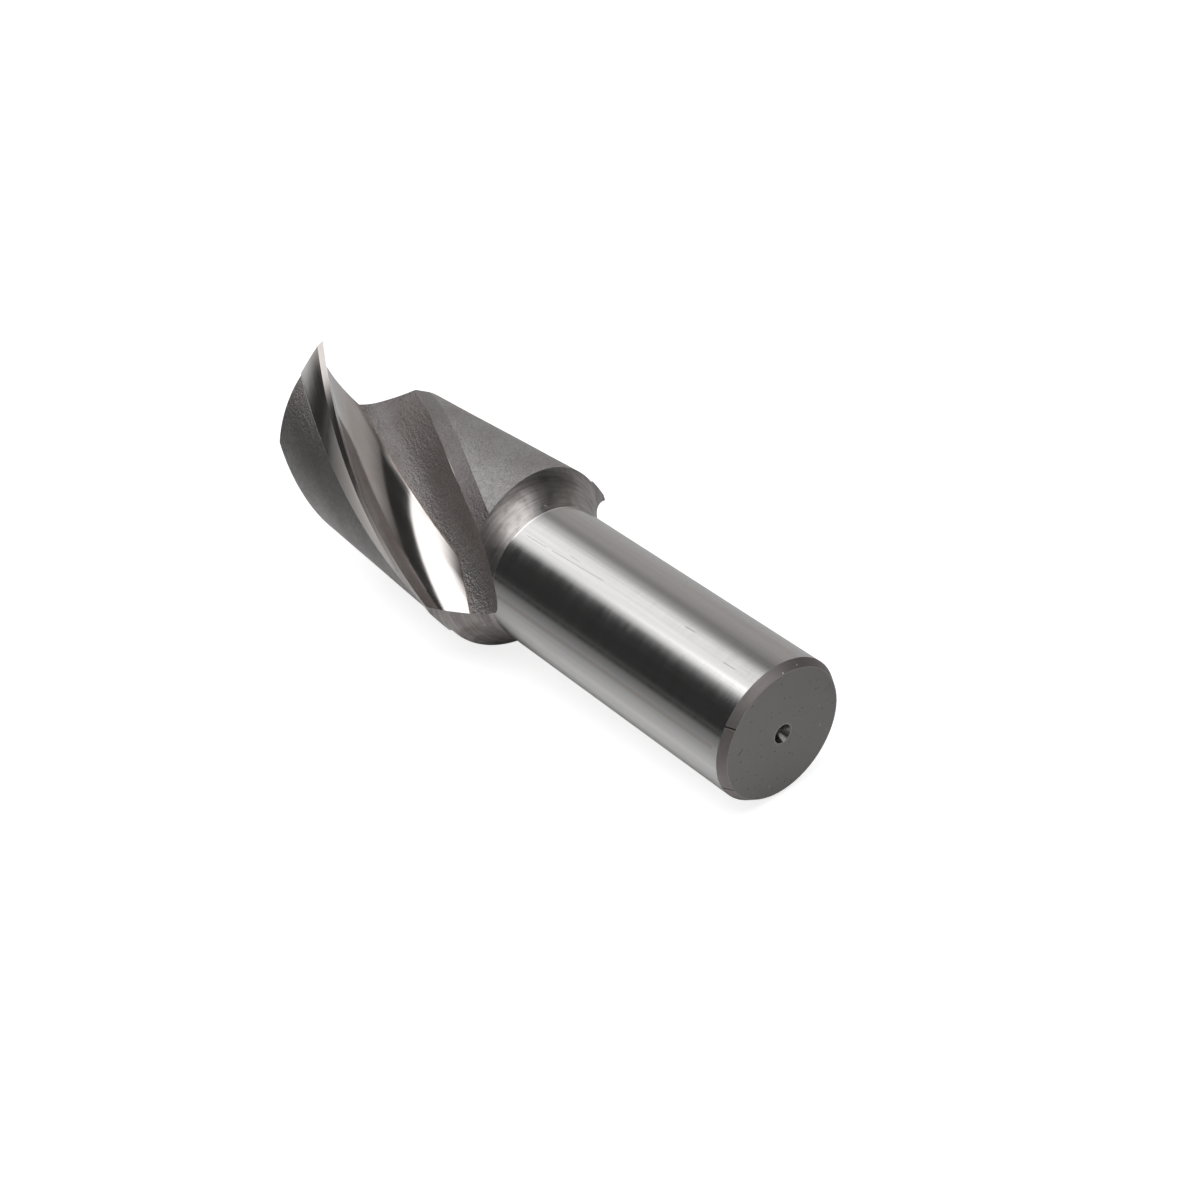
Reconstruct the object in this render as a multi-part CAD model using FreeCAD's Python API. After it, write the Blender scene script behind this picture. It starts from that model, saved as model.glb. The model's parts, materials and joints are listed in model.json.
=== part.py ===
"""Two-flute end mill: a straight round shank, a concave neck and a wider
helical cutting head with two teeth, made in one piece of high speed steel.

The tool is built upright first, shank end on z = 0 and the teeth on top, and
is then laid on its side as it comes to rest on a bench: the shank points to
+X, the bench is z = 0 and the origin is the middle of what the tool covers
there. All sizes are in mm and all angles in degrees.
"""
import FreeCAD, Part
import math
import os

from FreeCAD import Placement, Rotation, Vector

# Overall sizes
overall_length = 122.5
shank_diameter = 25.0
neck_height = 58.0
cutting_diameter = 40.0
helix_angle = 30.0
tooth_count = 2

# Shank end
shank_chamfer_height = 1.45
shank_chamfer_width = 0.9
centre_hole_diameter = 1.6
centre_hole_depth = 3.5
centre_cone_diameter = 3.35
centre_cone_angle = 60.0
drill_point_angle = 118.0

# Turned cove between the shank and the back of the teeth
cove_radius = 17.0
cove_length = 8.6

# Each tooth seen along the axis: how far behind the cutting edge a point of
# its back lies, and how far below the cutting circle
primary_relief_angle = 8.0
primary_land_angle = 4.0
secondary_land_angle = 18.5
secondary_end_drop = 1.7
raw_step_depth = 0.38
raw_step_angle = 1.0
raw_middle_angle = 70.0
raw_middle_drop = 3.45
raw_back_angle = 109.0
raw_back_drop = 4.5
heel_angle = 121.5
heel_drop = 4.8

# Flute seen along the axis: an arc that starts at the cutting edge, then a
# straight wall up to the heel of the next tooth
hook_angle = 22.6
flute_radius = 8.1
flute_wall_angle = 9.0

# Where the flutes run out of the body towards the shank
run_out_past_neck = 3.8
run_out_radius = 7.7
run_out_angle = 40.0

# Ground end of the teeth
end_relief_slope = 0.29
end_dish_angle = 1.5
gash_slope_along = 0.846
gash_slope_behind = 0.591
gash_depth = 1.6
gash_wall_angle = 3.4

# How closely the lofted sections follow each other, and how far the blanks
# and cutters reach past the finished tool
section_step = 6.0
run_out_step = 1.0
over = 4.0

# Values that follow from the sizes above
shank_radius = shank_diameter / 2
tip_radius = cutting_diameter / 2
tooth_pitch = 360.0 / tooth_count
helix_lead = math.pi * cutting_diameter / math.tan(math.radians(helix_angle))
cutting_edge_start = neck_height + cove_length
run_out_start = neck_height + run_out_past_neck
outer_radius = tip_radius + over

origin = Vector(0, 0, 0)
z_axis = Vector(0, 0, 1)


def polar(radius, angle):
    """Point in a section, the angle counted ahead of the cutting edge."""
    turn = math.radians(angle)
    return Vector(radius * math.cos(turn), radius * math.sin(turn), 0)


def on_tooth(drop, behind):
    """Point on the back of a tooth, below the cutting circle by drop."""
    return polar(tip_radius - drop, -behind)


def twist(height):
    """Turn of the section at a height, zero at the tip of the tool."""
    return 360.0 * (height - overall_length) / helix_lead


def heights(start, end, step):
    """Evenly spaced heights from start to end, both included."""
    count = max(2, math.ceil((end - start) / step))
    return [start + (end - start) * i / count for i in range(count + 1)]


def half_space(point, normal):
    """Large block on the side of a plane that its normal points to."""
    size = 4 * overall_length
    block = Part.makeBox(size, size, size, Vector(-size / 2, -size / 2, 0))
    block.Placement = Placement(point, Rotation(z_axis, normal))
    return block


def chain(points):
    """Straight edges from each point to the next."""
    return [Part.makeLine(a, b) for a, b in zip(points, points[1:])]


def body_of_revolution():
    """Shank, chamfer, centre hole, cove and a plain blank for the head."""
    pilot_radius = centre_hole_diameter / 2
    cone_radius = centre_cone_diameter / 2
    cone_depth = (cone_radius - pilot_radius) / math.tan(math.radians(centre_cone_angle / 2))
    point_depth = pilot_radius / math.tan(math.radians(drill_point_angle / 2))
    hole_bottom = Vector(0, 0, centre_hole_depth + point_depth)
    neck = Vector(shank_radius, 0, neck_height)
    edges = chain([
        hole_bottom,
        Vector(pilot_radius, 0, centre_hole_depth),
        Vector(pilot_radius, 0, cone_depth),
        Vector(cone_radius, 0, 0),
        Vector(shank_radius - shank_chamfer_width, 0, 0),
        Vector(shank_radius, 0, shank_chamfer_height),
        neck,
    ])
    rim = Vector(tip_radius, 0, cutting_edge_start)
    chord = rim - neck
    rise = math.sqrt(cove_radius ** 2 - (chord.Length / 2) ** 2)
    across = Vector(chord.z, 0, -chord.x).normalize()
    centre = neck + chord * 0.5 + across * rise
    drop = math.sqrt(cove_radius ** 2 - (centre.x - outer_radius) ** 2)
    blank_edge = Vector(outer_radius, 0, centre.z + drop)
    outwards = ((neck + blank_edge) * 0.5 - centre).normalize()
    edges.append(Part.Arc(neck, centre + outwards * cove_radius, blank_edge).toShape())
    top = overall_length + over
    edges += chain([blank_edge, Vector(outer_radius, 0, top), Vector(0, 0, top), hole_bottom])
    return Part.Face(Part.Wire(edges)).revolve(origin, z_axis, 360)


def tooth_outline():
    """Closed outline of the teeth before the flutes are cut, as edges."""
    land_drop = tip_radius * math.radians(primary_land_angle)
    land_drop = land_drop * math.tan(math.radians(primary_relief_angle))
    step_drop = secondary_end_drop + raw_step_depth
    step_at = secondary_land_angle + raw_step_angle
    tip = on_tooth(0, 0)
    land = on_tooth(land_drop, primary_land_angle)
    ahead_of_tip = tip + (tip - land).normalize() * over * 0.7
    raw_middle = on_tooth(raw_middle_drop, raw_middle_angle)
    raw_back = on_tooth(raw_back_drop, raw_back_angle)
    heel = on_tooth(heel_drop, heel_angle)
    past_heel = heel + (heel - raw_back) * 0.3
    edges = []
    for i in range(tooth_count):
        turn = Rotation(z_axis, -i * tooth_pitch)
        next_turn = Rotation(z_axis, -(i + 1) * tooth_pitch)
        ground = [
            turn.multVec(ahead_of_tip),
            turn.multVec(land),
            turn.multVec(on_tooth(secondary_end_drop, secondary_land_angle)),
            turn.multVec(on_tooth(step_drop, step_at)),
        ]
        facet = [
            turn.multVec(raw_back),
            turn.multVec(past_heel),
            next_turn.multVec(ahead_of_tip),
        ]
        raw = Part.Arc(ground[-1], turn.multVec(raw_middle), facet[0]).toShape()
        edges += chain(ground) + [raw] + chain(facet)
    return edges


def flute_outline(shift):
    """Closed outline of one flute, moved towards its open side by shift."""
    centre = polar(tip_radius, 0) + polar(flute_radius, 90 + hook_angle)
    centre = centre + polar(shift, run_out_angle)
    start = centre + polar(flute_radius, -42.0)
    floor = centre + polar(flute_radius, -118.0)
    foot = centre + polar(flute_radius, flute_wall_angle - 180)
    top = foot + polar(tip_radius * 0.85, flute_wall_angle + 90)
    side = polar(tip_radius * 1.4 + shift, run_out_angle)
    return [
        Part.Arc(start, floor, foot).toShape(),
        Part.makeLine(foot, top),
        Part.Arc(top, side, start).toShape(),
    ]


def helical(sections):
    """Solid through outlines given as (height, edges), turned by the helix."""
    wires = []
    for height, edges in sections:
        wire = Part.Wire(edges)
        wire.Placement = Placement(Vector(0, 0, height), Rotation(z_axis, twist(height)))
        wires.append(wire)
    return Part.makeLoft(wires, True, False)


def flute():
    """Space of one flute, with its curved run-out behind the head."""
    run_out = heights(neck_height - over, run_out_start, run_out_step)
    rest = heights(run_out_start, overall_length + over, section_step)
    sections = []
    for height in run_out + rest[1:]:
        back = max(0.0, run_out_start - height)
        shift = back ** 2 / (2 * run_out_radius)
        sections.append((height, flute_outline(shift)))
    return helical(sections)


def head_cutter():
    """All that lies outside the backs of the teeth."""
    low = neck_height
    high = overall_length + over
    teeth = helical([(h, tooth_outline()) for h in heights(low - over, high + over, section_step)])
    blank = Part.makeCylinder(outer_radius + over, high - low, Vector(0, 0, low))
    return blank.cut(teeth)


def end_cutters():
    """What is ground off the end behind one cutting edge."""
    tip = Vector(tip_radius, 0, overall_length)
    dish = math.tan(math.radians(end_dish_angle))
    relief = half_space(tip, Vector(-dish, -end_relief_slope, 1))
    behind = half_space(origin, Vector(0, -1, 0))
    floor_point = Vector(0, 0, overall_length - gash_depth)
    floor = half_space(floor_point, Vector(-gash_slope_along, -gash_slope_behind, 1))
    wall = half_space(Vector(0, 0, overall_length), polar(1, -90) - z_axis * math.tan(
        math.radians(gash_wall_angle)))
    head = Part.makeCylinder(outer_radius, overall_length, Vector(0, 0, neck_height))
    return [head.common(relief).common(behind), head.common(floor).common(wall)]


def upright_end_mill():
    """The whole tool, standing on its shank end."""
    body = body_of_revolution().cut(head_cutter())
    for cutter in [flute()] + end_cutters():
        for i in range(tooth_count):
            turned = cutter.copy()
            turned.rotate(origin, z_axis, i * tooth_pitch)
            body = body.cut(turned)
    return body.removeSplitter().Solids[0]


def edge_points(body):
    """Points along every edge; what touches the bench is among them."""
    return [v for edge in body.Edges for v in edge.discretize(Deflection=0.01)]


def bench_line(points, centre, roll):
    """Weight's height and the tilt of the axis, lying with one side down."""
    down = polar(1, roll)
    outer = []
    for along, drop in sorted((v.z - centre.z, (v - centre).dot(down)) for v in points):
        while len(outer) > 1:
            (x0, y0), (x1, y1) = outer[-2:]
            if (x1 - x0) * (drop - y0) < (y1 - y0) * (along - x0):
                break
            outer.pop()
        outer.append((along, drop))
    for (x0, y0), (x1, y1) in zip(outer, outer[1:]):
        if x1 >= 0:
            slope = (y1 - y0) / (x1 - x0)
            tilt = math.atan(slope)
            return (y0 - slope * x0) * math.cos(tilt), math.degrees(tilt)


def laid_down(body):
    """The tool on its side, on its shank end, a tooth tip and the rim of the head."""
    points = edge_points(body)
    centre = body.CenterOfMass
    roll = 0.0
    for step in (8.0, 2.0, 0.5, 0.1, 0.02):
        near = [roll + step * i for i in range(-4, 5)]
        roll = min(near, key=lambda side: bench_line(points, centre, side)[0])
    tilt = bench_line(points, centre, roll)[1]
    body.rotate(origin, z_axis, 180 - roll)
    body.rotate(origin, Vector(0, 1, 0), tilt - 90)
    box = FreeCAD.BoundBox()
    for point in edge_points(body):
        box.add(point)
    body.translate(Vector(-box.Center.x, -box.Center.y, -box.ZMin))
    print("side down", round(roll, 2), "tilt of the axis", round(tilt, 3))
    return body


os.makedirs("parts", exist_ok=True)
end_mill = laid_down(upright_end_mill())
end_mill.exportStep("parts/end_mill.step")
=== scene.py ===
# %% [markdown]
# # Two-flute end mill
# A one-piece cutter of high speed steel: a ground round shank, a turned cove and
# a wider head with two helical teeth. The CAD model already has every shape, so
# this lesson gives it true reflections, the finishes of its surfaces, and the
# light, floor and camera of the photo. It lies on its side, shank towards +X.

# %% Load the CAD model
import json
import math

import bpy
import numpy as np
from mathutils import Matrix, Vector

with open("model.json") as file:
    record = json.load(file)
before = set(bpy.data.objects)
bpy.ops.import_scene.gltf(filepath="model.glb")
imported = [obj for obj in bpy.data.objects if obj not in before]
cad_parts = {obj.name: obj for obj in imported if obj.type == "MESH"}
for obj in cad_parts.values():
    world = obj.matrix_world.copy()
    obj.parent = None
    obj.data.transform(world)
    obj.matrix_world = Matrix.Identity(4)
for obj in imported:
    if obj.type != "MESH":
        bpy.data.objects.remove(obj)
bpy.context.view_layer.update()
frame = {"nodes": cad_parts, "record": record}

end_mill = frame["nodes"]["end_mill"]

# %% [markdown]
# ## Where the tool lies
# Places on the tool are easier to think of with the tool upright, in mm: z runs
# from the shank end to the teeth, and x points at the tip of the first tooth.
# The record's shank mount gives the axis, and the roll at which the tool comes
# to rest gives the rest of the turn, so the marks below use real sizes.

# %% The tool's own frame
MM = 0.001
LENGTH = 122.5
TIP_RADIUS = 20.0
HELIX_ANGLE = math.radians(30)
CHAMFER_HEIGHT = 1.45
TOOTH_ROLL = math.radians(3.82)

shank = next(m for m in frame["record"]["mounts"] if m["name"] == "shank")
shank_radius = shank["dims"]["r_mm"]
shank_length = shank["dims"]["length_mm"]
neck = CHAMFER_HEIGHT + shank_length
shank_middle = CHAMFER_HEIGHT + shank_length / 2
tool_z = -Vector(shank["axis"]).normalized()
down = (Vector((0, 0, -1)) + tool_z * tool_z.z).normalized()
side = tool_z.cross(down)
tool_x = down * math.cos(TOOTH_ROLL) - side * math.sin(TOOTH_ROLL)
tool_y = tool_z.cross(tool_x)
shank_end = Vector(shank["pos_m"]) - tool_z * shank_middle * MM
tool_turn = Matrix((tool_x, tool_y, tool_z)).transposed()
first_tip = shank_end + tool_turn @ Vector((TIP_RADIUS, 0, LENGTH)) * MM
print("neck at", neck, "mm, first tooth tip at", first_tip)

# %% [markdown]
# ## True reflections
# The model is made of small flat triangles. On ground steel even a tiny error of
# their shading shows as a zigzag in the reflections. The real surfaces are known
# exactly: a cylinder, a cone, a round cove, planes, and section lines swept along
# the helix. So each corner of each triangle gets the normal of its real surface,
# and each triangle is told which surface it belongs to. Smoothing the normals
# instead would round off the edges. A hidden copy of the mesh, the survey,
# carries these numbers, and the CAD mesh itself stays as it is.

# %% Corners of the triangles, in mm, with the tool upright
mesh = end_mill.data
vertices = np.empty(len(mesh.vertices) * 3)
mesh.vertices.foreach_get("co", vertices)
corner_vertex = np.empty(len(mesh.loops), int)
mesh.loops.foreach_get("vertex_index", corner_vertex)
lying = vertices.reshape(-1, 3)[corner_vertex] - np.array(shank_end)
upright = lying @ np.array(tool_turn) / MM
x, y, z = upright.T
radius = np.hypot(x, y)
outwards = np.stack([x, y]) / np.maximum(radius, 1e-6)
print(len(z) // 3, "triangles, reach", radius.max(), z.max())

# %% [markdown]
# Turned surfaces are lines of the lathe profile, seen as radius and height. Each
# entry holds how far every corner lies from the surface, and the surface's
# outward normal there. Where a surface can't be, the distance is made far.

# %% Turned surfaces
FAR = 99.0
CHAMFER_WIDTH = 0.9
COVE_RADIUS = 17.0
COVE_LENGTH = 8.6
surfaces = {}


def turned(name, off, out, up):
    """A surface round the axis: distance from it, and its normal's two parts."""
    normal = np.stack([outwards[0] * out, outwards[1] * out, up * np.ones_like(z)], 1)
    surfaces.setdefault(name, []).append((np.abs(off), normal))


slant = math.hypot(CHAMFER_HEIGHT, CHAMFER_WIDTH)
chamfer_out, chamfer_up = CHAMFER_HEIGHT / slant, -CHAMFER_WIDTH / slant
chamfer_off = (radius - shank_radius) * chamfer_out + (z - CHAMFER_HEIGHT) * chamfer_up
chord = Vector((TIP_RADIUS - shank_radius, COVE_LENGTH))
rise = math.sqrt(COVE_RADIUS ** 2 - (chord.length / 2) ** 2)
cove_centre = Vector((shank_radius, neck)) + chord / 2 + Vector((chord.y, -chord.x)).normalized() * rise
cove_out, cove_up = cove_centre.x - radius, cove_centre.y - z
cove_span = np.hypot(cove_out, cove_up)
turned("shank", radius - shank_radius + FAR * (z > neck + 0.1), 1, 0)
turned("chamfer", chamfer_off + FAR * (z > CHAMFER_HEIGHT + 0.5), chamfer_out, chamfer_up)
turned("end_face", z, 0, -1)
turned("cove", cove_span - COVE_RADIUS, cove_out / cove_span, cove_up / cove_span)
print("cove centre", cove_centre, "turned surfaces", list(surfaces))

# %% [markdown]
# The ground end of each tooth is three planes: the relief behind the cutting edge
# and the floor and wall of the gash in the middle.

# %% Ground end planes
TEETH = 2
END_DISH = math.tan(math.radians(1.5))
END_RELIEF = 0.29
GASH_DEPTH = 1.6
GASH_ALONG = 0.846
GASH_BEHIND = 0.591
GASH_WALL = math.tan(math.radians(3.4))


def end_plane(point, normal):
    """The same plane on each tooth."""
    for tooth in range(TEETH):
        turn = np.array(Matrix.Rotation(math.pi * tooth, 3, "Z"))
        facing = turn @ np.array(Vector(normal).normalized())
        off = (upright - turn @ np.array(point)) @ facing
        surfaces.setdefault("end_grind", []).append((np.abs(off), np.tile(facing, (len(z), 1))))


end_plane((TIP_RADIUS, 0, LENGTH), (-END_DISH, -END_RELIEF, 1))
end_plane((0, 0, LENGTH - GASH_DEPTH), (-GASH_ALONG, -GASH_BEHIND, 1))
end_plane((0, 0, LENGTH), (0, -1, -GASH_WALL))
print("end planes", len(surfaces["end_grind"]))

# %% [markdown]
# Every section across the head is the same outline, turned a little further for
# each mm of height. Turning the corners back gives section places in which each
# surface is one straight line or one arc. Near the neck the flute's outline also
# slides sideways, which makes the curved run-out.

# %% Turn and slide of a section
RUN_OUT_START = neck + 3.8
RUN_OUT_RADIUS = 7.7
RUN_OUT_ANGLE = math.radians(40)
lead = 2 * math.pi * TIP_RADIUS / math.tan(HELIX_ANGLE)
turn_rate = 2 * math.pi / lead
slide_way = np.array([math.cos(RUN_OUT_ANGLE), math.sin(RUN_OUT_ANGLE)])
past_start = np.maximum(RUN_OUT_START - z, 0)
slide_rate = -past_start / RUN_OUT_RADIUS
slide = slide_way[:, None] * past_start ** 2 / (2 * RUN_OUT_RADIUS)
print("one turn of the helix in", lead, "mm")

# %% [markdown]
# A line or arc that is swept along the helix leans: its normal also points a
# little along the axis. How much follows from the turn and slide per mm. The
# normals could be read off a finer mesh as well, but a formula has no steps.

# %% Swept lines and arcs
def helical(name, place, flat_normal, off, valid, tooth, sliding):
    """Adds a swept line or arc, with the lean that the helix gives its normal."""
    lean = -turn_rate * (-flat_normal[0] * place[1] + flat_normal[1] * place[0])
    if sliding:
        lean = lean - slide_rate * (flat_normal[0] * slide_way[0] + flat_normal[1] * slide_way[1])
    back = turn_rate * (z - LENGTH) + math.pi * tooth
    cos, sin = np.cos(back), np.sin(back)
    normal = np.stack([
        flat_normal[0] * cos - flat_normal[1] * sin,
        flat_normal[0] * sin + flat_normal[1] * cos,
        lean,
    ], 1)
    normal /= np.linalg.norm(normal, axis=1, keepdims=True)
    surfaces.setdefault(name, []).append((np.where(valid, np.abs(off), FAR), normal))


def swept_line(name, start, end, place, valid, tooth):
    """A straight section line, its outside on the left."""
    along = (end - start) / np.linalg.norm(end - start)
    flat = np.array([-along[1], along[0]])[:, None] * np.ones_like(z)
    off = ((place - start[:, None]) * flat).sum(0)
    helical(name, place, flat, off, valid, tooth, False)


def swept_arc(name, centre, arc_radius, place, valid, tooth, hollow=False):
    """A section arc; a hollow one slides, and its outside is the centre's side."""
    spoke = place - centre
    span = np.hypot(*spoke)
    flat = spoke / span * (-1 if hollow else 1)
    helical(name, place, flat, span - arc_radius, valid, tooth, hollow)


print("lean of the cutting edge", math.degrees(math.atan(turn_rate * TIP_RADIUS)), "degrees")

# %% [markdown]
# The outline of a tooth runs from the cutting edge over two narrow ground lands,
# a small step, the round raw back and a facet, the heel. Each point is given as
# a maker would: how far behind the cutting edge, and how far below the circle
# that the edge cuts. The flute is an arc from the edge, then a straight wall.

# %% Outline of a tooth and a flute
LAND_ANGLE = 4.0
LAND_RELIEF = 8.0
SECONDARY_ANGLE = 18.5
SECONDARY_DROP = 1.7
STEP_ANGLE = 19.5
STEP_DROP = 2.08
MIDDLE_ANGLE = 70.0
MIDDLE_DROP = 3.45
RAW_ANGLE = 109.0
RAW_DROP = 4.5
HEEL_ANGLE = 121.5
HEEL_DROP = 4.8
HOOK_ANGLE = 22.6
FLUTE_RADIUS = 8.1
WALL_LEAN = 9.0


def direction(degrees):
    """Unit step in a section, the angle counted ahead of the cutting edge."""
    return np.array([math.cos(math.radians(degrees)), math.sin(math.radians(degrees))])


def on_tooth(behind, drop):
    """Section point behind the cutting edge and below the cutting circle."""
    return direction(-behind) * (TIP_RADIUS - drop)


def circle_through(first, middle, last):
    """Centre and radius of the circle through three points."""
    chords = 2 * np.array([middle - first, last - first])
    centre = np.linalg.solve(chords, [middle @ middle - first @ first, last @ last - first @ first])
    return centre, np.linalg.norm(first - centre)


land_drop = TIP_RADIUS * math.radians(LAND_ANGLE) * math.tan(math.radians(LAND_RELIEF))
tip = on_tooth(0, 0)
land_end = on_tooth(LAND_ANGLE, land_drop)
secondary_end = on_tooth(SECONDARY_ANGLE, SECONDARY_DROP)
step_foot = on_tooth(STEP_ANGLE, STEP_DROP)
raw_middle = on_tooth(MIDDLE_ANGLE, MIDDLE_DROP)
raw_end = on_tooth(RAW_ANGLE, RAW_DROP)
heel_end = on_tooth(HEEL_ANGLE, HEEL_DROP)
raw_centre, raw_radius = circle_through(step_foot, raw_middle, raw_end)
flute_centre = tip + FLUTE_RADIUS * direction(90 + HOOK_ANGLE)
wall_normal = direction(WALL_LEAN)
wall_way = direction(WALL_LEAN + 90)
wall_foot = flute_centre - FLUTE_RADIUS * wall_normal
print("raw back's radius", raw_radius, "flute centre", flute_centre.round(3))

# %% [markdown]
# Both teeth share the outline, half a turn apart. A stretch of it counts only
# near its own place behind the cutting edge, because a line or circle goes on
# past its ends. How far past them it may count is the slack, in degrees, and
# where the flute's arc meets its wall it is the seam, in mm. A tooth's own part
# of the head starts well ahead of its edge and a little below the neck.

# %% Sweep the outline along both teeth
SLACK = 1.0
SEAM = 0.05
AHEAD = 60.0
BELOW = 4.0
flat_wall = wall_normal[:, None] * np.ones_like(z)
for tooth in range(TEETH):
    back = turn_rate * (z - LENGTH) + math.pi * tooth
    place = np.stack([x * np.cos(back) + y * np.sin(back), y * np.cos(back) - x * np.sin(back)])
    behind = -np.degrees(np.arctan2(place[1], place[0]))
    mine = (behind > -AHEAD) & (behind < HEEL_ANGLE + SLACK) & (z > neck - BELOW)
    on_land = mine & (behind < LAND_ANGLE + SLACK)
    on_secondary = mine & (behind < SECONDARY_ANGLE + SLACK)
    on_step = mine & (behind < STEP_ANGLE + SLACK)
    on_back = mine & (behind > STEP_ANGLE - SLACK)
    on_heel = mine & (behind > RAW_ANGLE - SLACK)
    swept_line("primary_land", tip, land_end, place, on_land, tooth)
    swept_line("secondary_land", land_end, secondary_end, place, on_secondary, tooth)
    swept_line("raw_back", secondary_end, step_foot, place, on_step, tooth)
    swept_arc("raw_back", raw_centre[:, None], raw_radius, place, on_back, tooth)
    swept_line("heel", raw_end, heel_end, place, on_heel, tooth)
    from_foot = place - slide - wall_foot[:, None]
    up_wall = wall_way @ from_foot
    hollow_centre = flute_centre[:, None] + slide
    in_hollow = mine & (up_wall < SEAM)
    on_wall = mine & (up_wall > -SEAM)
    swept_arc("flute", hollow_centre, FLUTE_RADIUS, place, in_hollow, tooth, hollow=True)
    helical("flute", place, flat_wall, wall_normal @ from_foot, on_wall, tooth, sliding=True)
print("surfaces", list(surfaces))

# %% [markdown]
# A triangle belongs to the surface that all three of its corners lie on. What is
# left over near the axis at the shank end is the centre hole. It keeps the
# normals of the model, and counts as a hair's breadth off, so that the end face
# keeps its own triangles. A triangle that is on none of them, more than the LOST
# distance off, would keep its normals too, but the print shows that none is.

# %% Find each triangle's surface
HOLE_MOUTH = 1.7
HOLE_DEPTH = 6.0
HOLE_OFF = 0.0005
LOST = 0.05
model_normals = np.empty(len(mesh.loops) * 3)
mesh.corner_normals.foreach_get("vector", model_normals)
model_normals = model_normals.reshape(-1, 3)
in_hole = (radius < HOLE_MOUTH) & (z < HOLE_DEPTH)
surfaces["centre_hole"] = [(np.where(in_hole, HOLE_OFF, FAR), model_normals @ np.array(tool_turn))]
names = list(surfaces)
owners = [(i, off, normal) for i, name in enumerate(names) for off, normal in surfaces[name]]
misses = np.stack([off.reshape(-1, 3).max(1) for _, off, _ in owners])
best = misses.argmin(0)
miss = misses.min(0)
surface_of = np.array([i for i, _, _ in owners])[best]
every_normal = np.stack([normal for _, _, normal in owners])
true_normal = every_normal[np.repeat(best, 3), np.arange(len(z))] @ np.array(tool_turn).T
lost = np.repeat(miss > LOST, 3)
true_normal[lost] = model_normals[lost]
turned_by = np.degrees(np.arccos(np.clip((true_normal * model_normals).sum(1), -1, 1)))
for i, name in enumerate(names):
    here = surface_of == i
    print(name, here.sum(), "triangles, off by at most", miss[here].max(initial=0),
          "normals corrected by", np.percentile(turned_by[np.repeat(here, 3)], [50, 99]).round(2))
print("without a surface", int(lost.sum() // 3))

# %% [markdown]
# The survey is a copy that nobody sees. A small node tree on the end mill reads
# from it, face by face and corner by corner.

# %% Survey
survey_mesh = mesh.copy()
survey = bpy.data.objects.new("survey", survey_mesh)
surface_field = survey_mesh.attributes.new("surface", "INT", "FACE")
surface_field.data.foreach_set("value", surface_of.astype(np.int32))
normal_field = survey_mesh.attributes.new("true_normal", "FLOAT_VECTOR", "CORNER")
normal_field.data.foreach_set("vector", true_normal.astype(np.float32).ravel())
print("survey", len(survey_mesh.polygons), "faces")

# %% [markdown]
# Geometry nodes leave the mesh alone and change only what is shown: one node
# sets the material slot of each face, the next one the normal of each corner.

# %% Node tree of the true surfaces
tree = bpy.data.node_groups.new("true surfaces", "GeometryNodeTree")
tree.interface.new_socket("Geometry", in_out="INPUT", socket_type="NodeSocketGeometry")
tree.interface.new_socket("Geometry", in_out="OUTPUT", socket_type="NodeSocketGeometry")
group_in = tree.nodes.new("NodeGroupInput")
group_out = tree.nodes.new("NodeGroupOutput")
from_survey = tree.nodes.new("GeometryNodeObjectInfo")
from_survey.inputs["Object"].default_value = survey


def surveyed(attribute, kind, domain):
    """The survey's value for the same face or corner."""
    named = tree.nodes.new("GeometryNodeInputNamedAttribute")
    named.data_type = kind
    named.inputs["Name"].default_value = attribute
    index = tree.nodes.new("GeometryNodeInputIndex")
    sample = tree.nodes.new("GeometryNodeSampleIndex")
    sample.data_type = kind
    sample.domain = domain
    tree.links.new(from_survey.outputs["Geometry"], sample.inputs["Geometry"])
    tree.links.new(named.outputs["Attribute"], sample.inputs["Value"])
    tree.links.new(index.outputs["Index"], sample.inputs["Index"])
    return sample.outputs["Value"]


set_surface = tree.nodes.new("GeometryNodeSetMaterialIndex")
set_normal = tree.nodes.new("GeometryNodeSetMeshNormal")
set_normal.mode = "FREE"
set_normal.domain = "CORNER"
tree.links.new(group_in.outputs["Geometry"], set_surface.inputs["Geometry"])
tree.links.new(surveyed("surface", "INT", "FACE"), set_surface.inputs["Material Index"])
tree.links.new(set_surface.outputs["Geometry"], set_normal.inputs["Mesh"])
tree.links.new(surveyed("true_normal", "FLOAT_VECTOR", "CORNER"), set_normal.inputs["Custom Normal"])
tree.links.new(set_normal.outputs["Mesh"], group_out.inputs["Geometry"])
modifier = end_mill.modifiers.new("true surfaces", "NODES")
modifier.node_group = tree
print(tree.name, len(tree.nodes), "nodes")

# %% [markdown]
# ## Building blocks for the finishes
# Shader nodes are made by a few small helpers. Each takes constants or the
# outputs of other nodes, so a finish below reads like a formula. In all cells
# from here on, t is the node tree that is being built.

# %% Sums and groups of nodes
def join(tree, value, socket):
    """Feeds a socket from another node's output, or sets a constant in it."""
    if isinstance(value, bpy.types.NodeSocket):
        tree.links.new(value, socket)
    else:
        socket.default_value = value


def calc(tree, operation, *values, clamp=False):
    """One step of arithmetic on plain numbers."""
    made = tree.nodes.new("ShaderNodeMath")
    made.operation = operation
    made.use_clamp = clamp
    for value, socket in zip(values, made.inputs):
        join(tree, value, socket)
    return made.outputs[0]


def vector(tree, operation, *values):
    """One step of arithmetic on places or directions."""
    made = tree.nodes.new("ShaderNodeVectorMath")
    made.operation = operation
    for value, socket in zip(values, made.inputs):
        join(tree, value, socket)
    return made.outputs["Value" if operation in ("DOT_PRODUCT", "DISTANCE") else "Vector"]


def parts(tree, place):
    """The three numbers of a place."""
    made = tree.nodes.new("ShaderNodeSeparateXYZ")
    join(tree, place, made.inputs[0])
    return made.outputs


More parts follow.
